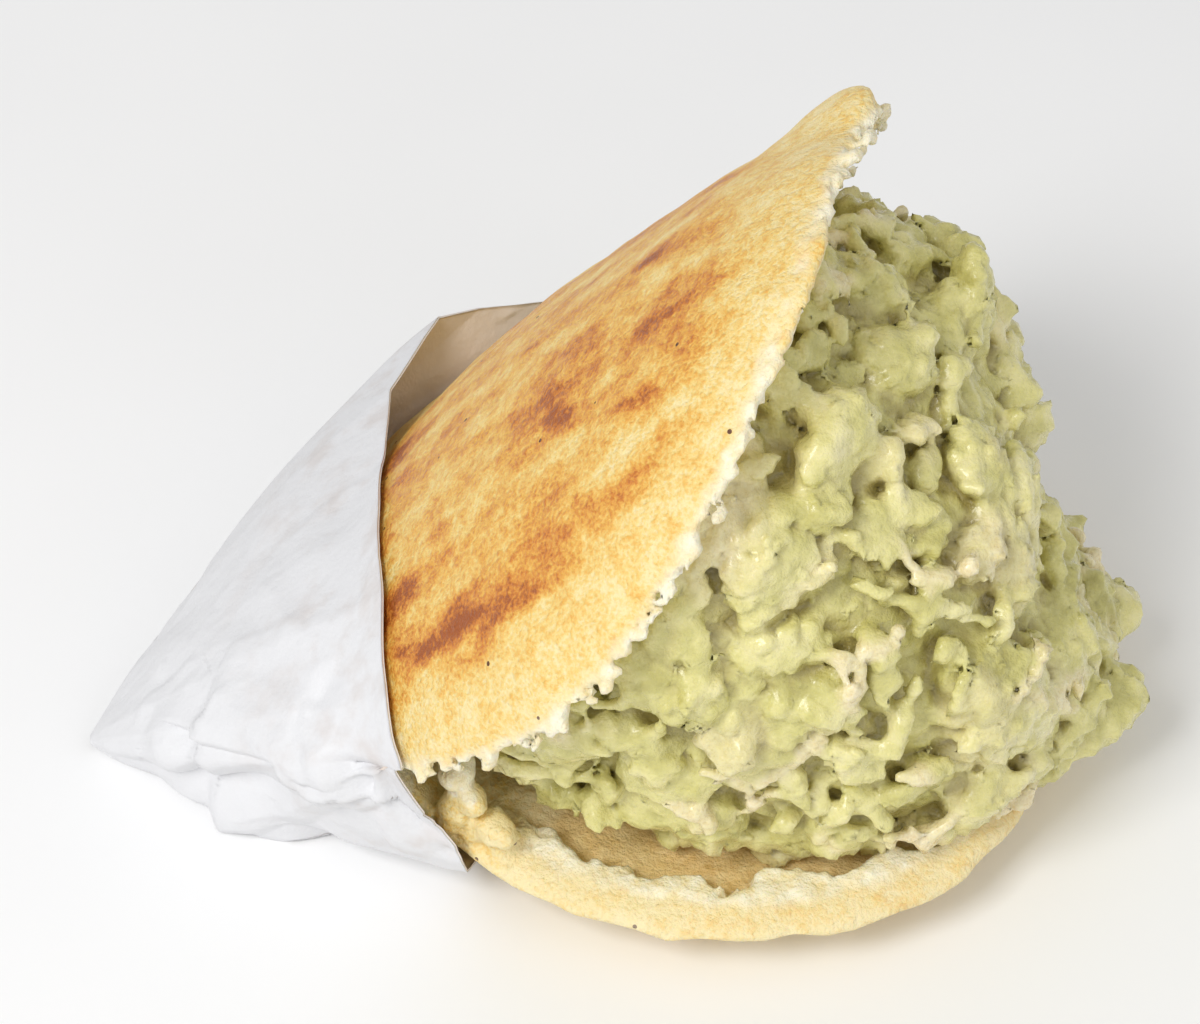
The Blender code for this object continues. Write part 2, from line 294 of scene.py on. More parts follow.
def near_surface(lattice):
    """The cells close to a lattice's surface, as an index, and their places."""
    near = np.argwhere(np.abs(lattice.values) < NEAR_SURFACE)
    return tuple(near.T), lattice.at(near)


CORNERS = np.array(list(itertools.product((0, 1), repeat=3)))


def surface_net(lattice):
    """The zero surface of a lattice, as points and four-sided faces."""
    values = lattice.values
    inside = values < 0
    count = np.zeros([side - 1 for side in inside.shape], np.int8)
    for corner in CORNERS:
        count += inside[tuple(slice(c, n - 1 + c) for c, n in zip(corner, inside.shape))]
    cells = np.argwhere((count > 0) & (count < 8))
    total = np.zeros((len(cells), 3))
    crossings = np.zeros(len(cells))
    for start in CORNERS:
        for axis in range(3):
            if start[axis]:
                continue
            end = start.copy()
            end[axis] = 1
            first, second = values[tuple((cells + start).T)], values[tuple((cells + end).T)]
            crossed = (first < 0) != (second < 0)
            share = np.where(crossed, first / np.where(crossed, first - second, 1), 0)
            place = start + (end - start) * share[:, None]
            total += np.where(crossed[:, None], place, 0)
            crossings += crossed
    points = lattice.at(cells + total / crossings[:, None])
    index = np.full(values.shape, -1, np.int64)
    index[tuple(cells.T)] = np.arange(len(cells))
    return points, net_faces(inside, index)


def net_faces(inside, index):
    """A face across each edge of the lattice that the surface crosses, turned to face outwards."""
    faces = []
    for axis in range(3):
        side, other = [k for k in range(3) if k != axis]
        first = np.argwhere(np.diff(inside.astype(np.int8), axis=axis) != 0)
        first = first[(first[:, side] > 0) & (first[:, other] > 0)]
        step_side, step_other = np.eye(3, dtype=int)[side], np.eye(3, dtype=int)[other]
        around = [first - step_side - step_other, first - step_other, first, first - step_side]
        quads = np.stack([index[tuple(cell.T)] for cell in around], 1)
        leaving = inside[tuple(first.T)]
        flip = leaving if axis == 1 else ~leaving
        quads[flip] = quads[flip][:, ::-1]
        faces.append(quads[(quads >= 0).all(1)])
    return np.concatenate(faces)


def surface_normals(points, faces):
    """Normals of the points, from the faces round them."""
    first, second = points[faces[:, 2]] - points[faces[:, 0]], points[faces[:, 3]] - points[faces[:, 1]]
    across = np.cross(first, second)
    normals = np.zeros_like(points)
    for corner in range(4):
        for axis in range(3):
            normals[:, axis] += np.bincount(faces[:, corner], across[:, axis], len(points))
    return unit(normals)


def piece_from(name, points, faces, material, slot, nodes, **attributes):
    """A named piece of the object from points in millimetres, with further values for each point."""
    mesh = bpy.data.meshes.new(name)
    mesh.vertices.add(len(points))
    mesh.vertices.foreach_set("co", (points * MM).astype(np.float32).ravel())
    mesh.loops.add(faces.size)
    mesh.loops.foreach_set("vertex_index", faces.astype(np.int32).ravel())
    mesh.polygons.add(len(faces))
    mesh.polygons.foreach_set("loop_start", np.arange(0, faces.size, faces.shape[1], dtype=np.int32))
    mesh.update(calc_edges=True)
    mesh.shade_smooth()
    for key, data in attributes.items():
        mesh.attributes.new(key, "FLOAT", "POINT").data.foreach_set("value", data.astype(np.float32))
    mesh.materials.append(material)
    piece = bpy.data.objects.new(name, mesh)
    bpy.context.scene.collection.objects.link(piece)
    thin_out(piece)
    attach(piece, "root")
    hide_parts(*nodes)
    return piece


def thin_out(piece):
    """Merges faces where the surface is plain until the piece has at most MOST_TRIANGLES."""
    triangles = sum(len(face.vertices) - 2 for face in piece.data.polygons)
    if triangles <= MOST_TRIANGLES:
        return
    modifier = piece.modifiers.new("thin out", "DECIMATE")
    modifier.ratio = MOST_TRIANGLES / triangles
    evaluated = piece.evaluated_get(bpy.context.evaluated_depsgraph_get())
    thinned = bpy.data.meshes.new_from_object(evaluated)
    piece.modifiers.clear()
    piece.data = thinned


# Leaf coordinates: along from the hinge to the tip, across, and height from the cut plane out to the crust.


def lower_coordinates(points):
    """Leaf coordinates in the lower leaf, whose cut plane climbs towards the hinge."""
    place = points - ORIGIN_SHIFT
    climb = HINGE_LIFT * (np.maximum(-place[:, 0], 0) / CAKE_RADIUS) ** 2
    return np.stack([place[:, 0], place[:, 1], LOWER_DOME - FLAT_SINK + climb - place[:, 2]], 1)


def upper_axes():
    """The upper leaf's three directions: towards its tip, across it, and out through its crust."""
    turn = Matrix.Rotation(math.radians(-OPENING_YAW), 3, "Z")
    turn = turn @ Matrix.Rotation(math.radians(-OPENING_ANGLE), 3, "Y")
    turn = turn @ Matrix.Rotation(math.radians(UPPER_ROLL), 3, "X")
    return np.array(turn).T


def upper_coordinates(points):
    """Leaf coordinates in the upper leaf, which is arched across and droops on its far side."""
    along, side, rise = (upper_axes() @ (points - ORIGIN_SHIFT - UPPER_CENTRE).T)
    droop = UPPER_DROOP * np.maximum(side, 0) / CAKE_RADIUS * ease((along + 20) / 40)
    rise = rise + droop + UPPER_ARCH_RADIUS
    bend = np.arctan2(side, rise)
    return np.stack([along, UPPER_ARCH_RADIUS * bend, np.hypot(side, rise) - UPPER_ARCH_RADIUS], 1)


# The bread.

# Browner patches of the upper crust: along, across, length, width and strength. They lie along the leaf.
TOAST = (
    (-18, -38, 18, 5, 0.50), (-2, -40, 12, 4, 0.45), (9, -38, 8, 4, 0.50), (17, -33, 8, 4, 0.50),
    (10, -18, 9, 6, 0.40), (13, -9, 8, 3, 0.45), (29, -25, 6, 2, 0.45), (33, -30, 6, 3, 0.35),
    (26, -35, 8, 3, 0.45), (38, -23, 8, 6, 0.35), (-9, -22, 5, 3, 0.45), (-23, -29, 8, 6, 0.45),
    (38, -12, 14, 4, 0.45), (28, 0, 12, 3, 0.30), (10, 16, 26, 4, 0.35), (-30, 4, 10, 8, 0.30),
)

RIM_ROUND = 3.6
RIM_CRUMBS = 150
LOOSE_CRUMBS = 60
# Lumps of crumb that still join the leaves at the near end of the hinge: angle, radius and height.
HINGE_WEB = (
    (-134, 53, -2), (-133, 53, -5), (-131, 53, -8), (-130, 52, -2), (-127, 52, -4), (-134, 52, -11),
    (-125, 51, -1),
)
# The lobe that widens the upper leaf's tip: its leaf coordinates and its half sizes.
TIP_LOBE = (42.5, 19, 2.4)
TIP_LOBE_SIZES = (10.0, 9.0, 3.0)


def rim_distance(leaf):
    """How far a point is from the leaf's torn rim."""
    return np.hypot(np.hypot(leaf[:, 0], leaf[:, 1]) - CAKE_RADIUS, leaf[:, 2])


def leaf_angle(leaf):
    """Degrees round the leaf from its tip."""
    return np.degrees(np.arctan2(leaf[:, 1], leaf[:, 0]))


def cut_share(leaf):
    """1 on the side of the hinge where the cake is cut."""
    return ease((HINGE_CORNER + 6 - np.abs(leaf_angle(leaf))) / 14)


def is_upper(lower, upper):
    """Which points belong to the upper leaf rather than the lower one."""
    return np.abs(upper[:, 2] - 4) < np.abs(lower[:, 2] - 6)


def lip_radius(leaf):
    """How far from the middle of the lower leaf its torn lip stands, on the near side."""
    edge = wander(leaf, (9, 9, 30), 51) * 3.2 + wander(leaf, (3.6, 3.6, 30), 52) * 1.5
    return 46.0 + edge + wander(leaf, (1.7, 1.7, 30), 53) * 0.8


def lip_share(leaf):
    """1 along the stretch of the lower leaf's near side whose crumb is torn, 0 elsewhere."""
    angle = leaf_angle(leaf)
    return ease((angle + 134) / 14) * ease((-34 - angle) / 12)


def bread_relief(points):
    """How far the surface stands proud of the plain solid at each point."""
    lower, upper = lower_coordinates(points), upper_coordinates(points)
    edge = ease((3.2 - rim_distance(upper)) / 2.4) * cut_share(upper)
    cut = ease((1.2 - np.abs(upper[:, 2])) / 0.9)
    relief = 0.30 * wander(points, 13, 1) + 0.16 * wander(points, 5, 2)
    crumb = 0.55 * wander(points, 3.0, 3) + 0.55 * wander(points, 1.7, 4) + 0.35 * wander(points, 1.1, 5)
    radius = np.hypot(lower[:, 0], lower[:, 1])
    top = ease((3.0 - np.abs(lower[:, 2])) / 1.5) * lip_share(lower)
    beyond = ease((radius - lip_radius(lower)) / 0.7)
    lip = 1.3 * ease((53.5 - radius) / 6.0) * beyond - 2.1 * (1 - beyond)
    rough = ease((51.5 - radius) / 3.0)
    height = lower[:, 2]
    corner = bump_at(leaf_angle(lower), -130, 14) * ease((2 - height) / 2) * ease((height + 22) / 4)
    torn = np.maximum(np.maximum(edge, 0.6 * cut), 0.8 * corner)
    return relief + crumb * torn + top * (lip + rough * crumb * 0.8)


def rounded_rim(points):
    """A field that rounds off the top of the lower leaf's rim, over the front of the cake."""
    leaf = lower_coordinates(points)
    over = np.maximum(np.hypot(leaf[:, 0], leaf[:, 1]) - (CAKE_RADIUS - RIM_ROUND), 0)
    up = np.maximum(RIM_ROUND - leaf[:, 2], 0)
    rounded = np.hypot(over, up) - RIM_ROUND - 20 * (1 - cut_share(leaf))
    return np.where(leaf[:, 2] > -3, rounded, -20)


def torn_flaps(lattice):
    """Crumbs along the upper leaf's torn rim and on the lower leaf, the hinge's web and the tip's lobe."""
    for angle in random.uniform(-126, 126, RIM_CRUMBS):
        size = random.uniform((0.6, 0.5, 0.4), (1.5, 1.0, 0.8))
        radius = CAKE_RADIUS - random.uniform(-0.3, 1.8)
        add_crumb(lattice, UPPER, angle, radius, random.uniform(-0.3, 0.9), size)
    for angle in random.uniform(-124, -48, LOOSE_CRUMBS):
        size = random.uniform((0.6, 0.5, 0.4), (1.8, 1.2, 0.8))
        add_crumb(lattice, LOWER, angle, random.uniform(42, 51), random.uniform(-1.4, 0.6), size)
    for angle, radius, height in HINGE_WEB:
        size = random.uniform((2.6, 2.0, 1.8), (3.8, 3.0, 2.8))
        add_crumb(lattice, LOWER, angle, radius, height, size)
    tipward, _, outward = upper_axes()
    add_ellipsoid(lattice, leaf_place(UPPER, *TIP_LOBE), tipward, outward, TIP_LOBE_SIZES, 2.0)


def leaf_place(leaf, along, across, height):
    """The point of the lower or the upper leaf at a leaf coordinate."""
    if leaf == LOWER:
        climb = HINGE_LIFT * (max(-along, 0) / CAKE_RADIUS) ** 2
        return np.array((along, across, LOWER_DOME - FLAT_SINK + climb - height)) + ORIGIN_SHIFT
    tipward, sideways, outward = upper_axes()
    bend, reach = across / UPPER_ARCH_RADIUS, UPPER_ARCH_RADIUS + height
    droop = UPPER_DROOP * max(across, 0) / CAKE_RADIUS * ease((along + 20) / 40)
    rise = reach * math.cos(bend) - UPPER_ARCH_RADIUS - droop
    return UPPER_CENTRE + ORIGIN_SHIFT + tipward * along + sideways * reach * math.sin(bend) + outward * rise


def add_crumb(lattice, leaf, angle, radius, height, size):
    """Joins a crumb to a leaf, turned at random about the leaf's own upward direction."""
    turn = math.radians(angle)
    place = leaf_place(leaf, radius * math.cos(turn), radius * math.sin(turn), height)
    upward = upper_axes()[2] if leaf == UPPER else np.array((0.0, 0.0, 1.0))
    add_ellipsoid(lattice, place, random.normal(size=3) * (1, 1, 0.3), upward, size, 0.5)


def add_ellipsoid(lattice, centre, along, upward, sizes, blend):
    """Joins an ellipsoid to a field. Returns where it was joined and how much of it shows there."""
    along = unit(along - upward * (along @ upward))
    side = np.cross(upward, along)
    reach = max(sizes) + 1.5 * blend
    found = lattice.window(centre - reach, centre + reach)
    if found is None:
        return None
    slices, axes = found
    away = np.stack([axis - middle for axis, middle in zip(axes, centre)], -1)
    local = np.stack([away @ along, away @ side, away @ upward], -1)
    scaled = np.linalg.norm(local / sizes, axis=-1)
    slope = np.linalg.norm(local / np.square(sizes), axis=-1)
    return join(lattice, slices, scaled * (scaled - 1) / np.maximum(slope, 1e-6), blend)


def join(lattice, slices, shape, blend):
    """Joins a field to part of a lattice. Returns where, and how much of the new shape shows there."""
    before = lattice.values[slices]
    lattice.values[slices] = smooth_min(before, shape, blend)
    return slices, ease((before - shape) / (2 * blend) + 0.5)


def buried(lattice, points, radius):
    """The share of a box round each point that is inside the surface: high in pits, low on ridges."""
    filled = (lattice.values < 0).astype(np.float32)
    cells = max(1, int(round(radius / lattice.step)))
    for axis in range(3):
        filled = np.moveaxis(filled, axis, 0)
        padded = np.pad(filled, ((cells + 1, cells), (0, 0), (0, 0)), mode="edge")
        total = np.cumsum(padded, 0, dtype=np.float32)
        filled = (total[2 * cells + 1 :] - total[: -2 * cells - 1]) / (2 * cells + 1)
        filled = np.moveaxis(filled, 0, axis)
    return sampled(lattice, filled, points)


def sampled(lattice, grid, points):
    """The value of a grid at the lattice point nearest to each point."""
    cells = np.rint((points - lattice.low) / lattice.step).astype(int)
    cells = np.clip(cells, 0, np.array(lattice.shape) - 1)
    return grid[tuple(cells.T)]


def carve_bread():
    """The bread's distances, flat where it stands on the table."""
    lattice = solid_field("arepa_bread", BREAD_STEP, reach=3.6, margin=3.0)
    torn_flaps(lattice)
    cells, places = near_surface(lattice)
    values = np.maximum(lattice.values[cells], rounded_rim(places))
    lattice.values[cells] = values - bread_relief(places)
    floor = lattice.low[2] + lattice.step * np.arange(lattice.shape[2])
    lattice.values = np.maximum(lattice.values, -floor.astype(np.float32))
    return lattice


def toasted(leaf, above):
    """How brown the crust is, from 0 to 1, before its fine mottling."""
    along, across = leaf[:, 0], leaf[:, 1]
    flat = 1 - ease((np.hypot(along * 0.95, (across + 4) * 1.05) - 30) / 20)
    streaks = wander(leaf, (14, 3.6, 9), 21) + 0.6 * wander(leaf, (6, 2.2, 5), 22)
    toast = 0.17 + flat * (0.30 + 0.26 * streaks)
    for patch_along, patch_across, length, width, strength in TOAST:
        away = ((along - patch_along) / length) ** 2 + ((across - patch_across) / width) ** 2
        toast += strength * np.exp(-1.6 * away) * (0.75 + 0.7 * streaks)
    under = 0.08 + 0.34 * ease((leaf[:, 2] - 5.0) / 5) + 0.12 * streaks
    return np.where(above, toast, under)


def crumb_share(points, leaf, above):
    """How much of the white crumb shows instead of crust, from 0 to 1."""
    edge = rim_distance(leaf) + 0.9 * wander(points, 3.0, 6) + 0.6 * wander(points, 1.3, 7)
    torn = ease((3.0 - edge) / 2.0) * cut_share(leaf)
    cut = ease((0.7 - leaf[:, 2]) / 1.0)
    radius = np.hypot(leaf[:, 0], leaf[:, 1]) + 1.0 * wander(points, 4.0, 8)
    outer = np.maximum(ease((52.0 - radius) / 3.0), 0.25)
    top = ease((3.0 - leaf[:, 2]) / 1.5) * outer * lip_share(leaf)
    inner = ease((40 - radius) / 4) * ease((0.7 - leaf[:, 2]) / 1.0)
    return np.where(above, np.maximum(torn, cut), np.maximum(top, inner))


def bread():
    """The piece of both leaves, with how brown, how crumbly and how hollow it is at each point."""
    lattice = carve_bread()
    points, faces = surface_net(lattice)
    points[:, 2] = np.maximum(points[:, 2], 0)
    lower, upper = lower_coordinates(points), upper_coordinates(points)
    above = is_upper(lower, upper)
    leaf = np.where(above[:, None], upper, lower)
    inward = lip_radius(lower) - np.hypot(lower[:, 0], lower[:, 1])
    hollow = lip_share(lower) * ease(inward / 0.6 + 0.5)
    piece_from(
        "arepa_bread_crumb_and_crust", points, faces, crust_material(), "maize_crust", ["arepa_bread"],
        crumb=crumb_share(points, leaf, above),
        toast=toasted(leaf, above),
        # How sunk each point is; the crust material paints shade into the pits from it.
        buried=buried(lattice, points, 1.8),
        hollow=np.where(above, 0, hollow),
    )


# The salad.

CORE_DEPTH = 3.0
BIG_LUMPS = 150
SMALL_LUMPS = 420
LUMP_CHICKEN = 0.12
STRANDS = 190
STRAND_BLEND = 0.6
STRAND_CURL = 0.12
STRAND_CHICKEN = 0.55


class SaladField:
    """The salad's distances, with the tone of the mash and the share of chicken at each lattice point."""

    def __init__(self):
        self.lattice = solid_field("salad_filling", SALAD_STEP, reach=6.0, margin=5.0)
        self.lattice.values += CORE_DEPTH
        self.tone = np.full(self.lattice.values.shape, 0.35, np.float32)
        self.chicken = np.zeros(self.lattice.values.shape, np.float32)
        self.tree = solid_tree("salad_filling")

    def paint(self, joined, tone, chicken):
        """Colours the lattice points where a shape was joined."""
        if joined is not None:
            slices, share = joined
            self.tone[slices] += (tone - self.tone[slices]) * share
            self.chicken[slices] += (chicken - self.chicken[slices]) * share

    def lump(self, place, normal, low, high, blend):
        """A flattened lump, mostly sunk in the surface, with its half sizes between low and high."""
        sizes = random.uniform(low, high)
        tilt = unit(normal + 0.35 * random.normal(size=3))
        centre = place - normal * (sizes[2] * random.uniform(0.7, 1.1))
        joined = add_ellipsoid(self.lattice, centre, random.normal(size=3), tilt, sizes, blend)
        self.paint(joined, random.uniform(0.1, 0.9), float(random.random() < LUMP_CHICKEN) * 0.8)

    def strand(self, line, radii, chicken):
        """A strand along a line, with its radius at each point."""
        for start, end, first, last in zip(line, line[1:], radii, radii[1:]):
            reach = max(first, last) + 1.5
            found = self.lattice.window(np.minimum(start, end) - reach, np.maximum(start, end) + reach)
            if found is None:
                continue
            slices, axes = found
            away = np.stack([axis - corner for axis, corner in zip(axes, start)], -1)
            run = end - start
            share = clamp(away @ run / max(run @ run, 1e-6))
            distance = np.linalg.norm(away - share[..., None] * run, axis=-1)
            shape = distance - (first + (last - first) * share)
            joined = join(self.lattice, slices, shape, STRAND_BLEND)
            self.paint(joined, random.uniform(0.4, 0.9), chicken)


def scattered(mesh, count):
    """Evenly scattered places on a mesh, in millimetres, with their normals."""
    corners = [np.array([mesh.vertices[v].co for v in face.vertices]) / MM for face in mesh.polygons]
    areas = np.array([face.area for face in mesh.polygons])
    picks = random.choice(len(corners), count, p=areas / areas.sum())
    places = [random.dirichlet(np.ones(len(corners[pick]))) @ corners[pick] for pick in picks]
    return np.array(places), np.array([np.array(mesh.polygons[int(pick)].normal) for pick in picks])


def surface_walk(tree, place, heading, steps, stride, lift):
    """A line that crawls over a solid, step by step, a little above or below its surface."""
    line = []
    turn = random.normal() * STRAND_CURL
    for _ in range(steps):
        near, normal, _, _ = tree.find_nearest(Vector(place))
        normal = np.array(normal)
        line.append(np.array(near) + normal * (lift + 0.5 * random.normal()))
        heading = unit(heading - normal * (heading @ normal))
        heading = unit(heading + np.cross(normal, heading) * (turn + 0.25 * random.normal()))
        place = np.array(near) + heading * stride
    return np.array(line)


def tapered(count, thick):
    """Radii along a strand that is thickest in its middle."""
    share = np.linspace(0, 1, count)
    return thick * (0.35 + 0.65 * np.sin(np.pi * np.clip(share * 0.9 + 0.05, 0, 1)) ** 0.7)


def grain_of(place):
    """The direction that the shreds tend to lie in near a place."""
    swirl = 2.2 * wander(place[None], 34, 41)[0]
    return np.array((math.cos(swirl + 0.9), math.sin(swirl + 0.9) * 0.4, -math.sin(swirl + 0.9)))


def salad_relief(places):
    """Soft lumps with sharp creases between them, and a fibrous grain that swirls through the salad."""
    swirl = 2.2 * wander(places, 34, 41) + 0.9
    along = places[:, 0] * np.cos(swirl) - places[:, 2] * np.sin(swirl)
    across = places[:, 0] * np.sin(swirl) + places[:, 2] * np.cos(swirl)
    fibres = wander(np.stack([along, places[:, 1], across], 1), (6.0, 2.4, 1.4), 14)
    lumps = 1.5 * (np.abs(wander(places, 3.9, 11)) - 0.25)
    lumps += 0.9 * (np.abs(wander(places, 2.0, 12)) - 0.25)
    return lumps + 0.45 * fibres + 0.2 * wander(places, 1.2, 13)


def salad():
    """The piece of the whole heap, with its tone and its share of chicken at each point."""
    field = SaladField()
    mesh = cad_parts["salad_filling"].data
    for place, normal in zip(*scattered(mesh, BIG_LUMPS)):
        field.lump(place, normal, (5.0, 3.5, 2.6), (10.5, 6.5, 4.6), 1.5)
    for place, normal in zip(*scattered(mesh, SMALL_LUMPS)):
        field.lump(place + normal * 0.2, normal, (2.0, 1.4, 1.1), (5.0, 3.0, 2.0), 1.4)
    for place in scattered(mesh, STRANDS)[0]:
        steps = random.integers(4, 9)
        heading = grain_of(place) + 0.5 * random.normal(size=3)
        stride, lift = random.uniform(2.0, 3.2), random.uniform(-0.8, 0.5)
        line = surface_walk(field.tree, place, heading, steps, stride, lift)
        thick = random.uniform(0.7, 1.5)
        field.strand(line, tapered(steps, thick), float(random.random() < STRAND_CHICKEN))
    cells, places = near_surface(field.lattice)
    field.lattice.values[cells] -= salad_relief(places)
    points, faces = surface_net(field.lattice)
    piece_from(
        "avocado_salad", points, faces, salad_material(), "avocado_salad", ["salad_filling"],
        tone=sampled(field.lattice, field.tone, points),
        chicken=sampled(field.lattice, field.chicken, points),
        # How sunk each point is; the salad material paints shade into the creases from it.
        buried=buried(field.lattice, points, 2.6),
    )


# The bag.


def paper_rails(rails):
    """The mouth's point, bow and fold at places round the mouth, from 0 to the number of its points."""
    closed = np.vstack([MOUTH, MOUTH[:1]])
    row = np.stack([np.interp(rails, np.arange(len(closed)), closed[:, k]) for k in range(5)], -1)
    return row[..., :3] + ORIGIN_SHIFT, row[..., 3], row[..., 4]


def paper_places(rails, shares):
    """Points of the paper's inside before it is creased."""
    mouth, bow, fold = paper_rails(rails)
    axis = unit(BAG_MIDDLE - BAG_TIP)
    out = mouth - BAG_MIDDLE
    out = unit(out - (out @ axis)[..., None] * axis)
    out = out * (bow * 4 * shares * (1 - shares) + fold * bump(shares - 0.45, 0.24))[..., None]
    places = BAG_TIP + (mouth - BAG_TIP) * shares[..., None] + out
    places[..., 2] = np.maximum(places[..., 2], PAPER_THICKNESS)
    return places


def crease_lift(places, normals, line, height, left, right):
    """How far one crease lifts the paper: most along its line, falling straight to nothing beside it."""
    nearest = np.full(len(places), 1e9)
    lift = np.zeros(len(places))
    for start, end in zip(line, line[1:]):
        run = end - start
        share = clamp((places - start) @ run / (run @ run))
        away = places - start - share[:, None] * run
        distance = np.linalg.norm(away, axis=1)
        leftward = (np.cross(run, away) * normals).sum(1) > 0
        here = height * (1 - clamp(distance / np.where(leftward, left, right)))
        lift = np.where(distance < nearest, here, lift)
        nearest = np.minimum(nearest, distance)
    return lift


def random_creases(count):
    """Faint creases all over the paper, as it gets from being handled."""
    creases = []
    for _ in range(count):
        rail, share = random.uniform(0, 18), random.uniform(0.15, 0.95)
        turn, reach = random.uniform(0, math.tau), random.uniform(0.4, 1.2)
        end = (rail + reach * math.cos(turn), min(share + 0.2 * reach * abs(math.sin(turn)), 1.0))
        middle = ((rail + end[0]) / 2 + random.uniform(-0.1, 0.1), (share + end[1]) / 2)
        height = random.uniform(0.12, 0.45) * random.choice((-1, 1))
        creases.append((((rail, share), middle, end), height, *random.uniform(1.5, 6.0, 2)))
    return creases


def creased(places, normals):
    """How far the paper stands out from its plain cone at each place."""
    lift = 0.5 * wander(places, 21, 31) + 0.22 * wander(places, 9, 32)
    for line, height, left, right in (*CREASES, *random_creases(FAINT_CREASES)):
        rails, shares = np.array(line).T
        lift = lift + crease_lift(places, normals, paper_places(rails, shares), height, left, right)
    return lift


def evened(grid, rounds):
    """A grid of vectors, closed round its columns, with each averaged with its neighbours."""
    for _ in range(rounds):
        around = (np.roll(grid, 1, 0) + np.roll(grid, -1, 0)) / 2
        along = grid.copy()
        along[:, 1:-1] = (grid[:, 2:] + grid[:, :-2]) / 2
        grid = (2 * grid + around + along) / 4
    return grid


def pressed(rails, shares):
    """How firmly the paper lies against the bread: only near its mouth, over the top of the cake."""
    return ease((shares - 0.75) / 0.25) * ease((8.5 - rails) / 1.0) * ease((rails - 1.8) / 0.8)


def draped(places, tree, pull):
    """How far each place moves to clear a solid, or to lie against it where pull is above 0."""
    move = np.zeros_like(places)
    for i, place in enumerate(places):
        near, normal, _, _ = tree.find_nearest(Vector(place), DRAPE_REACH)
        if near is None:
            continue
        away = (Vector(place) - near).dot(normal)
        closer = near + normal * PAPER_CLEARANCE - Vector(place)
        if away < PAPER_CLEARANCE:
            move[i] = closer
        elif pull[i] > 0:
            move[i] = np.array(closer) * pull[i] * ease((6 - away) / 3)
    return move


def grid_faces(columns, rows):
    """Faces of a grid that is closed round its columns."""
    index = np.arange(columns * rows).reshape(columns, rows)
    after = np.roll(index, -1, 0)
    return np.stack([index[:, :-1], after[:, :-1], after[:, 1:], index[:, 1:]], -1).reshape(-1, 4)


def shell_faces(faces, columns, rows):
    """Faces of an inner and an outer grid, joined by strips at the mouth and at the tip."""
    count = columns * rows
    strips = []
    for ring in (np.arange(columns) * rows + rows - 1, np.arange(columns) * rows):
        after = np.roll(ring, -1)
        strips.append(np.stack([ring, after, after + count, ring + count], 1))
    return np.concatenate([faces[:, ::-1], faces + count, strips[0], strips[1][:, ::-1]])


def bag():
    """The piece of paper: creased, cleared of the bread, and given its thickness."""
    columns, rows = ((BAG_COLUMNS, BAG_ROWS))
    rails = np.linspace(0, len(MOUTH), columns, endpoint=False)
    shares = TIP_SHARE + (1 - TIP_SHARE) * np.linspace(0, 1, rows)
    rails, shares = (grid.ravel() for grid in np.meshgrid(rails, shares, indexing="ij"))
    places = paper_places(rails, shares)
    faces = grid_faces(columns, rows)
    normals = surface_normals(places, faces)
    from_axis = places - BAG_TIP - (BAG_MIDDLE - BAG_TIP) * shares[:, None]
    outward = np.sign((from_axis * normals).sum())
    normals *= outward
    inside = places + normals * (creased(places, normals) * ease(shares / 0.1))[:, None]
    move = draped(inside, solid_tree("arepa_bread"), pressed(rails, shares))
    inside = inside + evened(move.reshape(columns, rows, 3), EVENING_ROUNDS).reshape(-1, 3)
    inside[:, 2] = np.maximum(inside[:, 2], PAPER_THICKNESS)
    outside = inside + surface_normals(inside, faces) * outward * PAPER_THICKNESS
    outside[:, 2] = np.maximum(outside[:, 2], 0)
    faces = shell_faces(faces, columns, rows)
    if outward < 0:
        faces = faces[:, ::-1]
    points = np.concatenate([inside, outside])
    piece_from(
        "paper_bag_corner", points, faces, paper_material(), "white_paper", ["paper_bag"],
        share=np.concatenate([shares, shares]),
        # 1 on the inner skin, where the paper material paints a warm reflection of the bread and a little
        # shade.
        inner=np.repeat((1.0, 0.0), len(inside)),
    )


# Materials.


def rgb(red, green, blue):
    """A colour from its 0 to 255 display values."""
    shares = np.array((red, green, blue)) / 255
    linear = np.where(shares <= 0.04045, shares / 12.92, ((shares + 0.055) / 1.055) ** 2.4)
    return (*linear.tolist(), 1.0)


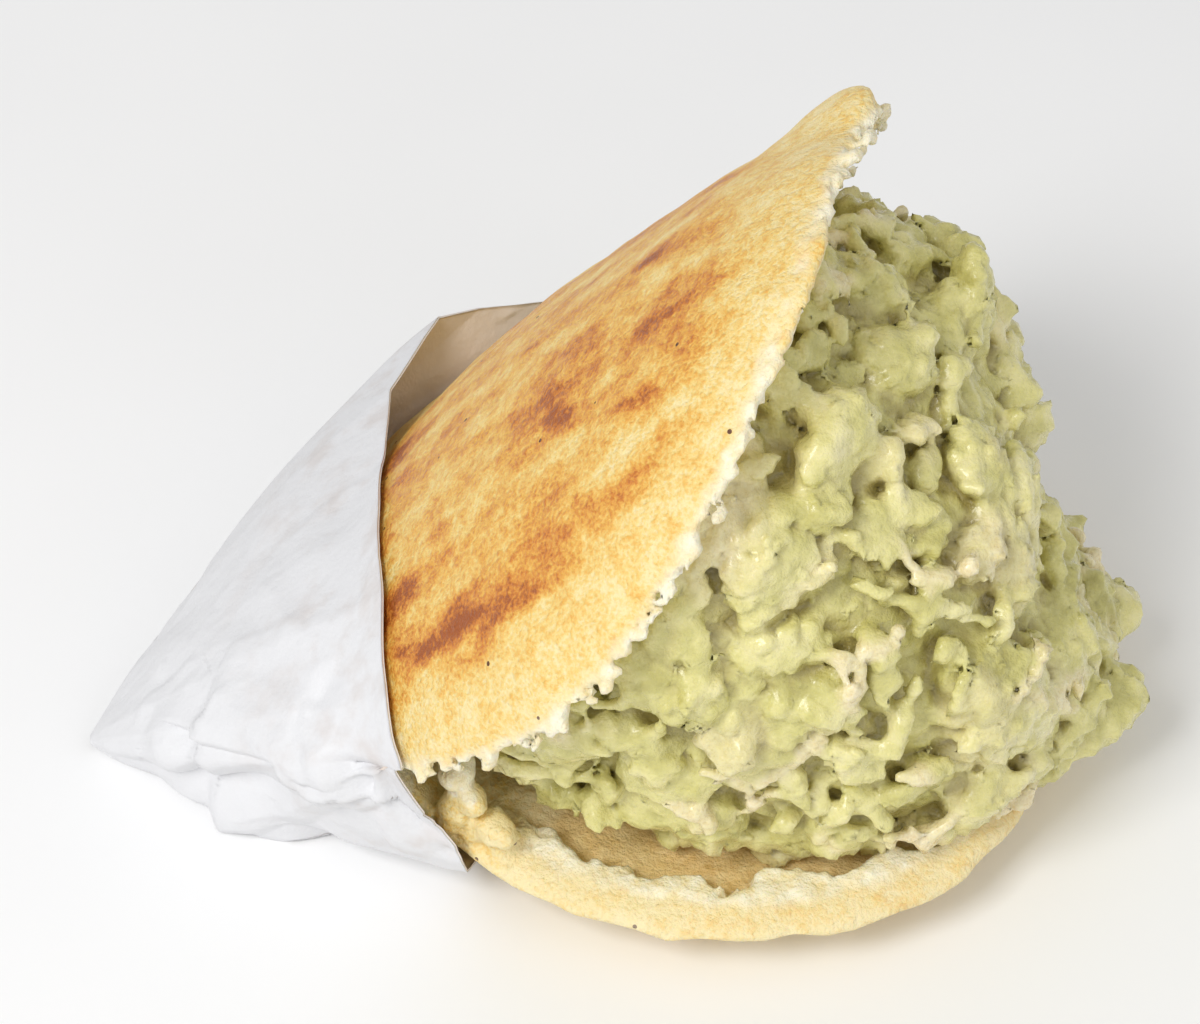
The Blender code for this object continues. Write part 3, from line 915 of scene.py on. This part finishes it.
class Nodes:
    """Short calls for the nodes of one material."""

    def __init__(self, name, roughness, soft=0.0, radius=(1, 1, 1)):
        self.material = bpy.data.materials.new(name)
        self.material.use_nodes = True
        self.tree = self.material.node_tree
        self.shader = self.tree.nodes["Principled BSDF"]
        self.shader.inputs["Roughness"].default_value = roughness
        self.shader.inputs["Subsurface Weight"].default_value = soft
        self.shader.inputs["Subsurface Radius"].default_value = radius
        self.shader.inputs["Subsurface Scale"].default_value = MM

    def put(self, socket, value):
        """Links a socket to the value, or sets the value there."""
        if isinstance(value, bpy.types.NodeSocket):
            self.tree.links.new(value, socket)
        else:
            socket.default_value = value

    def attribute(self, name):
        made = self.tree.nodes.new("ShaderNodeAttribute")
        made.attribute_name = name
        return made.outputs["Fac"]

    def place(self):
        """The point in millimetres, in the row's frame."""
        source = self.tree.nodes.new("ShaderNodeTexCoord")
        made = self.tree.nodes.new("ShaderNodeVectorMath")
        made.operation = "MULTIPLY"
        self.put(made.inputs[0], source.outputs["Object"])
        made.inputs[1].default_value = (1 / MM, 1 / MM, 1 / MM)
        return made.outputs[0]

    def noise(self, vector, size, detail=2.0, rough=0.5):
        made = self.tree.nodes.new("ShaderNodeTexNoise")
        self.put(made.inputs["Vector"], vector)
        made.inputs["Scale"].default_value = 1 / size
        made.inputs["Detail"].default_value = detail
        made.inputs["Roughness"].default_value = rough
        return made.outputs["Fac"]

    def cells(self, vector, size):
        """The distance to the middle of the nearest cell, as a share of the size."""
        made = self.tree.nodes.new("ShaderNodeTexVoronoi")
        self.put(made.inputs["Vector"], vector)
        made.inputs["Scale"].default_value = 1 / size
        return made.outputs["Distance"]

    def maths(self, operation, first, second):
        made = self.tree.nodes.new("ShaderNodeMath")
        made.operation = operation
        self.put(made.inputs[0], first)
        self.put(made.inputs[1], second)
        return made.outputs[0]

    def span(self, value, low, high, to_low=0.0, to_high=1.0):
        """A smooth step of a value between two limits."""
        made = self.tree.nodes.new("ShaderNodeMapRange")
        made.interpolation_type = "SMOOTHSTEP"
        for socket, number in zip(made.inputs, (value, low, high, to_low, to_high)):
            self.put(socket, number)
        return made.outputs[0]

    def mix(self, share, first, second):
        """A mix of two colours. Inputs 6 and 7 and output 2 are the node's colour sockets."""
        made = self.tree.nodes.new("ShaderNodeMix")
        made.data_type = "RGBA"
        self.put(made.inputs[0], share)
        self.put(made.inputs[6], first)
        self.put(made.inputs[7], second)
        return made.outputs[2]

    def ramp(self, value, stops):
        made = self.tree.nodes.new("ShaderNodeValToRGB")
        elements = made.color_ramp.elements
        while len(elements) < len(stops):
            elements.new(0.5)
        for element, (position, colour) in zip(elements, stops):
            element.position = position
            element.color = colour
        self.put(made.inputs[0], value)
        return made.outputs[0]

    def bump(self, height, depth, normal=None):
        """A normal bumped by a height of so many millimetres, on top of another normal."""
        made = self.tree.nodes.new("ShaderNodeBump")
        made.inputs["Distance"].default_value = depth * MM
        made.inputs["Strength"].default_value = 1.0
        self.put(made.inputs["Height"], height)
        if normal is not None:
            self.put(made.inputs["Normal"], normal)
        return made.outputs[0]

    def finish(self, colour, roughness=None, normal=None):
        """The finished material."""
        self.put(self.shader.inputs["Base Color"], colour)
        if roughness is not None:
            self.put(self.shader.inputs["Roughness"], roughness)
        if normal is not None:
            self.put(self.shader.inputs["Normal"], normal)
        return self.material


def crust_material():
    """Crust that browns with the toast value, and white crumb darkened with painted shade in its pits."""
    nodes = Nodes("griddled maize crust", 0.5, 0.10, (2.2, 1.3, 0.6))
    place = nodes.place()
    grain = nodes.noise(place, 0.55, 3.0, 0.6)
    coarse = nodes.noise(place, 1.6, 2.0, 0.6)
    mottle = nodes.noise(place, 5.0, 3.0, 0.6)
    toast = nodes.maths("ADD", nodes.attribute("toast"), nodes.span(mottle, 0.3, 0.7, -0.10, 0.12))
    toast = nodes.maths("ADD", toast, nodes.span(grain, 0.3, 0.7, -0.16, 0.14))
    toast = nodes.maths("ADD", toast, nodes.span(coarse, 0.3, 0.7, -0.10, 0.10))
    crust = nodes.ramp(
        toast,
        [
            (0.0, rgb(247, 228, 170)), (0.25, rgb(243, 211, 128)), (0.50, rgb(236, 181, 82)),
            (0.78, rgb(212, 131, 48)), (1.0, rgb(164, 86, 30)),
        ],
    )
    speck = nodes.maths("LESS_THAN", nodes.cells(place, 6.5), 0.05)
    crust = nodes.mix(speck, crust, rgb(96, 52, 22))
    soft = nodes.noise(place, 2.2, 3.0, 0.6)
    crumb = nodes.ramp(soft, [(0.3, rgb(246, 228, 176)), (0.6, rgb(253, 246, 220))])
    tan = nodes.ramp(soft, [(0.3, rgb(222, 186, 118)), (0.7, rgb(242, 217, 160))])
    crumb = nodes.mix(nodes.attribute("hollow"), crumb, tan)
    # Painted shade: the crumb turns a darker tan where the surface is sunk in pits.
    pit_shade = nodes.span(nodes.attribute("buried"), 0.52, 0.75, 0.0, 0.7)
    crumb = nodes.mix(pit_shade, crumb, rgb(216, 180, 112))
    colour = nodes.mix(nodes.attribute("crumb"), crust, crumb)
    rough = nodes.span(grain, 0.35, 0.65, 0.60, 0.28)
    normal = nodes.bump(grain, 0.32)
    normal = nodes.bump(coarse, 0.35, normal)
    return nodes.finish(colour, rough, normal)


def salad_material():
    """Mashed avocado and chicken, with painted shade darkening the creases, and a wet sheen."""
    nodes = Nodes("avocado salad", 0.3, 0.15, (1.8, 1.6, 0.6))
    place = nodes.place()
    fine = nodes.noise(place, 0.9, 3.0, 0.6)
    mottle = nodes.noise(place, 4.5, 3.0, 0.6)
    tone = nodes.maths("ADD", nodes.attribute("tone"), nodes.span(mottle, 0.3, 0.7, -0.25, 0.25))
    green = nodes.ramp(
        tone,
        [
            (0.0, rgb(188, 180, 104)), (0.3, rgb(213, 206, 130)), (0.6, rgb(230, 222, 152)),
            (1.0, rgb(243, 234, 182)),
        ],
    )
    chicken = nodes.ramp(fine, [(0.3, rgb(232, 210, 160)), (0.65, rgb(250, 238, 202))])
    colour = nodes.mix(nodes.attribute("chicken"), green, chicken)
    # Painted shade: the salad turns a dark olive where the surface is sunk in creases.
    sunk = nodes.span(nodes.attribute("buried"), 0.50, 0.74, 0.0, 0.75)
    colour = nodes.mix(sunk, colour, rgb(146, 128, 62))
    nodes.shader.inputs["Coat Weight"].default_value = 0.5
    nodes.shader.inputs["Coat Roughness"].default_value = 0.16
    rough = nodes.span(fine, 0.35, 0.65, 0.24, 0.42)
    normal = nodes.bump(fine, 0.35)
    return nodes.finish(colour, rough, normal)


def paper_material():
    """White paper with fine fibres, a few greasy marks near the mouth, and a painted warm reflection of the
    bread with a little painted shade on its inside.
    """
    nodes = Nodes("white paper", 0.55)
    place = nodes.place()
    greasy = nodes.noise(place, 7.0, 3.0, 0.6)
    reach = nodes.span(nodes.attribute("share"), 0.35, 0.9)
    stain = nodes.maths("MULTIPLY", nodes.span(greasy, 0.45, 0.72), reach)
    colour = nodes.mix(nodes.maths("MULTIPLY", stain, 0.55), rgb(228, 228, 230), rgb(210, 201, 196))
    # Painted reflection and painted shade: the inside of the bag is tinted warm and a little darker, as if
    # lit by light thrown back from the bread.
    colour = nodes.mix(nodes.attribute("inner"), colour, rgb(226, 212, 200))
    fibre = nodes.noise(place, 0.5, 3.0, 0.7)
    crinkle = nodes.noise(place, 3.2, 3.0, 0.55)
    normal = nodes.bump(fibre, 0.04)
    normal = nodes.bump(crinkle, 0.35, normal)
    return nodes.finish(colour, None, normal)


def floor_material():
    nodes = Nodes("pale floor", 0.9)
    cloud = nodes.noise(nodes.place(), 60)
    return nodes.finish(nodes.ramp(cloud, [(0.3, rgb(247, 247, 247)), (0.7, rgb(249, 249, 249))]))


# The stage.


def camera():
    """The camera at the fitted angle, south of the object and above it."""
    lens = bpy.data.cameras.new("camera")
    lens.lens = CAMERA_LENS
    lens.sensor_width = SENSOR_WIDTH
    lens.sensor_fit = "HORIZONTAL"
    lens.clip_start, lens.clip_end = 0.01, 10
    eye = bpy.data.objects.new("camera", lens)
    bpy.context.scene.collection.objects.link(eye)
    lift = math.radians(CAMERA_ELEVATION)
    back = Vector((0, -math.cos(lift), math.sin(lift)))
    turn = Matrix.Rotation(math.radians(90 - CAMERA_ELEVATION), 4, "X")
    eye.matrix_world = Matrix.Translation(CAMERA_TARGET + back * CAMERA_DISTANCE) @ turn
    bpy.context.scene.camera = eye


def area_light(name, place, size, power):
    """A square light that faces the object."""
    lamp = bpy.data.lights.new(name, "AREA")
    lamp.size = size
    lamp.energy = power
    made = bpy.data.objects.new(name, lamp)
    made.location = place
    made.rotation_mode = "QUATERNION"
    made.rotation_quaternion = (LIGHT_AIM - Vector(place)).to_track_quat("-Z", "Y")
    bpy.context.scene.collection.objects.link(made)


def stage():
    """The plain floor, the even light of the sky and the studio's lights."""
    floor_mesh = bpy.data.meshes.new("floor")
    corners = [(x * FLOOR_REACH, y * FLOOR_REACH, 0) for x, y in ((-1, -1), (1, -1), (1, 1), (-1, 1))]
    floor_mesh.from_pydata(corners, [], [(0, 1, 2, 3)])
    floor_mesh.materials.append(floor_material())
    floor = bpy.data.objects.new("floor", floor_mesh)
    bpy.context.scene.collection.objects.link(floor)
    world = bpy.data.worlds.new("world")
    world.use_nodes = True
    background = world.node_tree.nodes["Background"]
    background.inputs["Color"].default_value = (1, 1, 1, 1)
    background.inputs["Strength"].default_value = SKY_STRENGTH
    bpy.context.scene.world = world
    for light in LIGHTS:
        area_light(*light)
    bpy.context.scene.view_settings.view_transform = "Standard"


def main():
    camera()
    stage()
    bread()
    salad()
    bag()


main()
